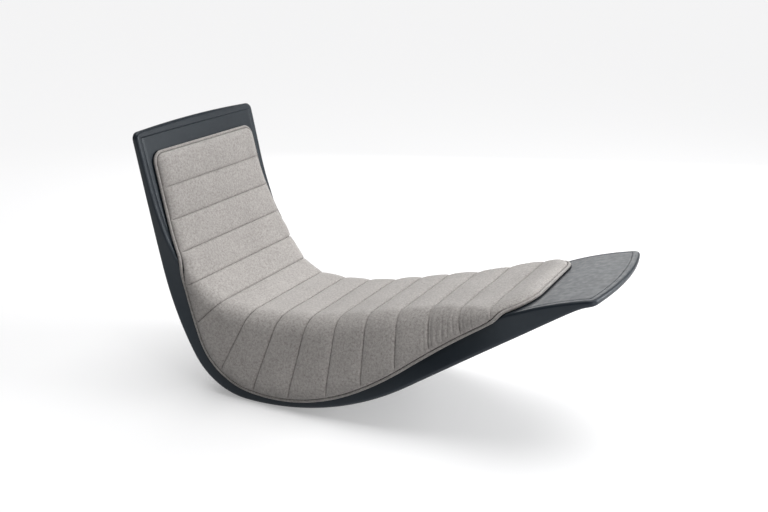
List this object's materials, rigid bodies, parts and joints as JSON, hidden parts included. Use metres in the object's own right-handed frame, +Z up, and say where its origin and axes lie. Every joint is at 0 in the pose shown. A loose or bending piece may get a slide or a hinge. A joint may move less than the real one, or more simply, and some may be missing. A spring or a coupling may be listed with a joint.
{
  "type": "rocking chaise lounge",
  "caption": "One-piece leather chaise lounge, bent to a back and a seat, that rocks on its rounded underside, with a quilted fabric pad laid over it.",
  "frame": {"origin": "on the floor, in the middle of the line on which the underside rests", "axes": "+X towards the foot, +Y to the left of someone lying in it, +Z up"},
  "size_m": [1.565, 0.6498, 0.8808],
  "materials": {
    "leather": "dark blue-black smooth-grained leather, semi-gloss",
    "quilt_fabric": "grey-taupe melange weave, quilted",
    "piping_fabric": "the same weave over a cord",
    "foam": "upholstery foam, hidden",
    "felt": "grey needle felt, hidden",
    "plywood": "bent birch plywood, hidden",
    "hardwood": "planed beech, hidden",
    "ballast_steel": "primed flat steel bar, hidden",
    "rubber": "matt black rubber"
  },
  "bodies": {
    "root": {"leather_seat_cover": "leather", "leather_underside_cover": "leather", "leather_side_left": "leather", "leather_side_right": "leather", "head_padded_edge": "leather", "foot_padded_edge": "leather", "seat_foam": "foam", "bolster_foam_left": "foam", "bolster_foam_right": "foam", "pad_foam_sheet": "foam", "underside_felt": "felt", "seat_deck": "plywood", "underside_skin": "plywood", "rib_left": "plywood", "rib_right": "plywood", "head_rail": "hardwood", "foot_rail": "hardwood", "rocker_runner_left": "rubber", "rocker_runner_right": "rubber", "pad_grip_mat": "rubber", "pad_quilted_top": "quilt_fabric", "pad_piping_left": "piping_fabric", "pad_piping_right": "piping_fabric", "cross_rail_1": "hardwood", "cross_rail_2": "hardwood", "cross_rail_3": "hardwood", "cross_rail_4": "hardwood", "cross_rail_5": "hardwood", "cross_rail_6": "hardwood", "ballast_bar_1": "ballast_steel", "ballast_bar_2": "ballast_steel", "ballast_bar_3": "ballast_steel", "ballast_bar_4": "ballast_steel"}
  },
  "joints": []
}
